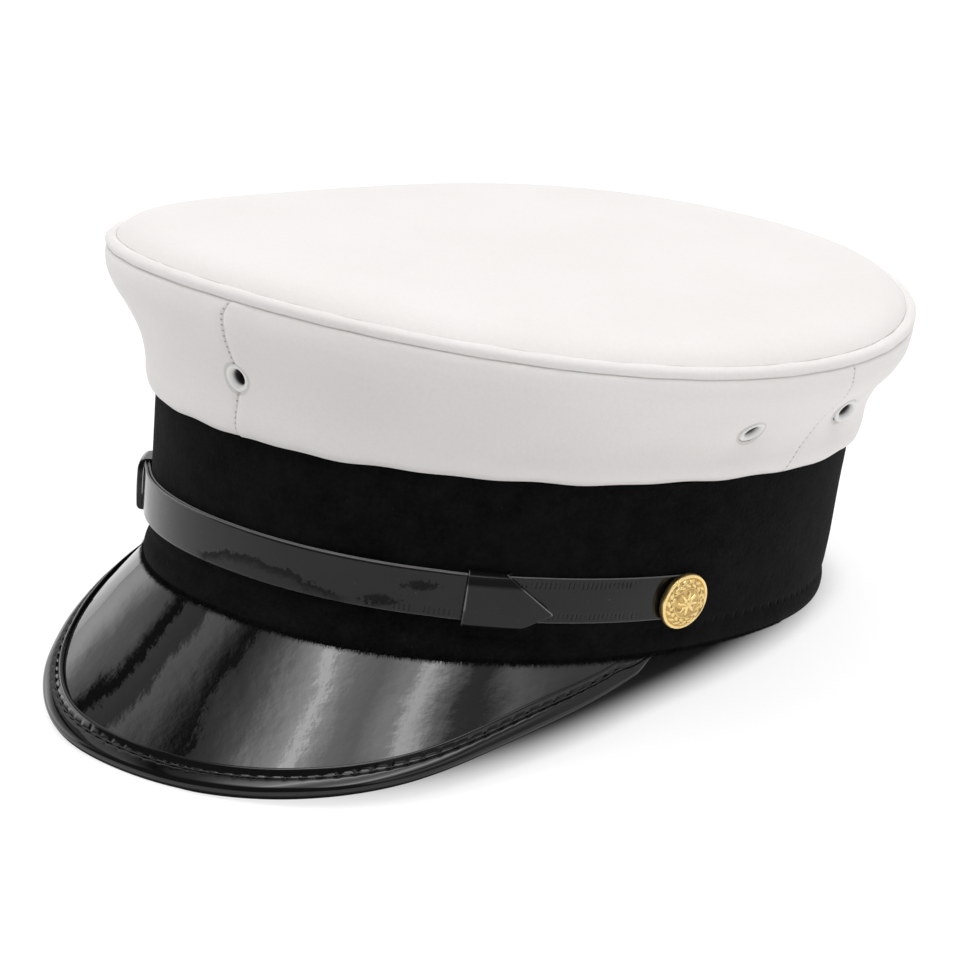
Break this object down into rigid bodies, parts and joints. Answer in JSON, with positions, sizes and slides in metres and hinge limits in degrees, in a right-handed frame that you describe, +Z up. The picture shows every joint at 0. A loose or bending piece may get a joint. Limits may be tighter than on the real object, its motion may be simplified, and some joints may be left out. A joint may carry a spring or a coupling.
{
  "type": "bell crown cap",
  "caption": "Bell crown cap with a flared white piped crown, black felt band, patent visor and strap, and gilt side buttons; worn on the head",
  "frame": {"origin": "middle of the cap's bounding box, on the surface that the cap rests on", "axes": "+Z up, -Y to the front of the cap, +X to the wearer's left"},
  "size_m": [0.2172, 0.2616, 0.1233],
  "materials": {
    "leatherette_white": "satin",
    "eyelet_white": "satin",
    "felt_black": "matte",
    "patent_black": "gloss",
    "gilt": "polished"
  },
  "bodies": {
    "root": {"crown_top": "leatherette_white", "crown_piping": "leatherette_white", "crown_front_left": "leatherette_white", "crown_front_right": "leatherette_white", "crown_back": "leatherette_white", "eyelet_front": "eyelet_white", "eyelet_vent_left_1": "eyelet_white", "eyelet_vent_left_2": "eyelet_white", "eyelet_vent_right_1": "eyelet_white", "eyelet_vent_right_2": "eyelet_white", "band": "felt_black", "visor": "patent_black", "visor_binding": "patent_black", "strap_over": "patent_black", "strap_under": "patent_black", "keeper_left": "patent_black", "keeper_right": "patent_black", "button_left": "gilt", "button_right": "gilt"}
  },
  "joints": []
}
